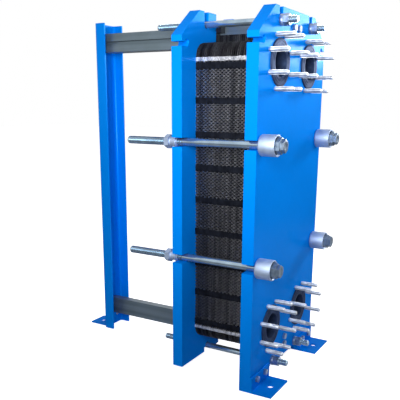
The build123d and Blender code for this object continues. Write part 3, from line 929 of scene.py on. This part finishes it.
def wavy_edges(rear):
    """Both wavy edges of one sheet whose rear face is at a depth."""
    start_clean()
    width = sheet_edge - strip_inner
    across = (strip_inner + width / 2) * mm
    up = (wave_start + wave_length / 2) * mm
    bpy.ops.mesh.primitive_grid_add(
        x_subdivisions=1, y_subdivisions=4, size=1, rotation=(math.pi / 2, 0, 0),
        location=(across, at(rear - sheet_thickness / 2), up))
    strip = bpy.context.object
    strip.name = "wavy_edge"
    strip.scale = (width * mm, wave_length * mm, 1)
    settle(strip)
    bpy.ops.object.mode_set(mode="EDIT")
    bpy.ops.mesh.select_all(action="DESELECT")
    bpy.ops.object.mode_set(mode="OBJECT")
    for corner in strip.data.vertices:
        share = (corner.co.z / mm - wave_start) / wave_length
        corner.select = 0.4 < share < 0.9
    bpy.ops.object.mode_set(mode="EDIT")
    bpy.ops.transform.translate(value=(0, -wave_depth * mm, 0))
    bpy.ops.object.mode_set(mode="OBJECT")
    apply_modifier(strip, "ARRAY", count=wave_count, use_relative_offset=False, use_constant_offset=True,
                   constant_offset_displace=(0, 0, wave_length * mm), use_merge_vertices=True,
                   merge_threshold=5 * same_point)
    apply_modifier(strip, "SOLIDIFY", thickness=sheet_thickness * mm, offset=0)
    apply_modifier(strip, "MIRROR", use_axis=(True, False, False))
    return strip


# %% [markdown]
# At two heights each sheet has a folded lip that closes the gap to the next one. The lips
# line up into a band across the pack, made bright by a painted highlight. Between them the
# rubber gaskets are clipped on with tabs, nine to a side, which line up into black bands and
# stand a little further out.
# Both are small bevelled blocks.

# %% Model the lips and the gasket tabs of one sheet
block_gap = 0.2
lip_spans = ((128, 137), (894.5, 905))
lip_edge = sheet_edge + 0.4
tab_edge = sheet_edge + 0.8
tab_height = 17.5
lowest_tab = 150
tab_pitch = 91.6
tab_count = 9


def block(name, outer, rear, bottom, top, bevel):
    """A bevelled block at both long edges of a sheet, that fills all but a gap of the pitch."""
    start_clean()
    across = (strip_inner + outer) / 2 * mm
    up = (bottom + top) / 2 * mm
    bpy.ops.mesh.primitive_cube_add(
        size=1, location=(across, at(rear - plate_pitch / 2 + block_gap / 2), up))
    piece = bpy.context.object
    piece.name = name
    piece.scale = ((outer - strip_inner) * mm, (plate_pitch - block_gap) * mm, (top - bottom) * mm)
    settle(piece)
    apply_modifier(piece, "BEVEL", width=bevel * mm, segments=1)
    apply_modifier(piece, "MIRROR", use_axis=(True, False, False))
    return piece


def lips(rear):
    """The folded lips of one sheet."""
    return joined("lips", [block("lip", lip_edge, rear, *span, bevel=0.4) for span in lip_spans])


def tabs(rear):
    """The gasket tabs of one sheet."""
    tab = block("tab", tab_edge, rear, lowest_tab - tab_height / 2, lowest_tab + tab_height / 2, bevel=0.5)
    apply_modifier(tab, "ARRAY", count=tab_count, use_relative_offset=False, use_constant_offset=True,
                   constant_offset_displace=(0, 0, tab_pitch * mm))
    return tab


# %% [markdown]
# A real pack is never quite in line: each sheet hangs a fraction of a millimetre higher or
# lower than the next. A seeded random shift up or down gives that, the same on every run.
# Every other sheet is also raised by half a wave, which makes the honeycomb.

# %% Build the three packets
loose = random.Random(7)
edge_play = 0.4
block_play = 0.8
packet_bodies = {"front": "frame", "middle": "middle_packet", "rear": "rear_packet"}
for packet, body in packet_bodies.items():
    last_rear = depth_of(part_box(f"{packet}_heat_plates")[1].y)
    first_rear = last_rear - (sheet_count - 1) * plate_pitch
    edge_moves = []
    block_moves = []
    for number in range(sheet_count):
        depth = number * plate_pitch
        out_of_step = number % 2 * wave_length / 2
        edge_moves.append((0, depth, out_of_step + loose.uniform(-edge_play, edge_play)))
        block_moves.append((0, depth, loose.uniform(-block_play, block_play)))
    edges = copied("edges", wavy_edges(first_rear), edge_moves)
    folded = copied("folded", lips(first_rear), block_moves)
    flat = plain_sheets(packet)
    # The flat sheets get the dark finish, painted shade over the pack's corners.
    paint(flat, shade_painted_sheet)
    paint(edges, pressed_sheet)
    # The lips get the light finish, a painted highlight.
    paint(folded, highlight_painted_sheet)
    sheets = joined(f"{packet}_sheet_pack", [flat, edges, folded])
    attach(sheets, body)
    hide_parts(f"{packet}_heat_plates")
    clips = copied(f"{packet}_gasket_tabs", tabs(first_rear), block_moves)
    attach(clips, body)
    paint(clips, gasket_rubber)
    print(packet, "sheets", len(sheets.data.polygons), "tabs", len(clips.data.polygons))

# %% [markdown]
# Machined and painted edges are never knife-sharp, and a small round on them catches the
# light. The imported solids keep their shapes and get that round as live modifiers: Weld joins
# their loose triangles, and Bevel rounds the sharp edges and hardens the normals, which keeps
# the flats flat.

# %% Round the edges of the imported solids
def round_edges(node, width):
    """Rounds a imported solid's sharp edges by a width in millimetres, without touching its mesh."""
    solid = nodes[node]
    weld = solid.modifiers.new("weld", "WELD")
    weld.merge_threshold = 2 * same_point
    bevel = solid.modifiers.new("round", "BEVEL")
    bevel.width = width * mm
    bevel.segments = 2
    bevel.limit_method = "ANGLE"
    bevel.angle_limit = math.radians(32)
    bevel.harden_normals = True


edge_widths = {
    "frame_plate": 1.2, "pressure_plate": 1.2, "support_column": 0.9, "column_foot": 0.4,
    "left_foot": 0.4, "right_foot": 0.4, "carrying_bar": 0.8, "hanging_rail": 0.8,
    "guide_bar": 0.8, "hanger_shoes": 0.6, "shoe_clamps": 0.5, "shoe_clamp_screws": 0.4,
    "top_front_washers": 0.6, "bottom_front_washers": 0.6, "top_rear_washers": 0.5,
    "bottom_rear_washers": 0.5, "thrust_bearings": 0.5,
}
for node, width in edge_widths.items():
    round_edges(node, width)
print("rounded", len(edge_widths))

# %% [markdown]
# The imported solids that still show, such as the plates, bars and washers, get the finish of
# their own material slot.

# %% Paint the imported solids
slot_finishes = {
    "blue_paint": enamel,
    "zinc_steel": bright_zinc,
    "bar_steel": drawn_steel,
    "stainless_sheet": shade_painted_sheet,
    "black_rubber": gasket_rubber,
    "black_plastic": black_plastic,
}
for part in frame["record"]["subparts"]:
    paint(nodes[part["node"]], slot_finishes[part["material_slot"]])
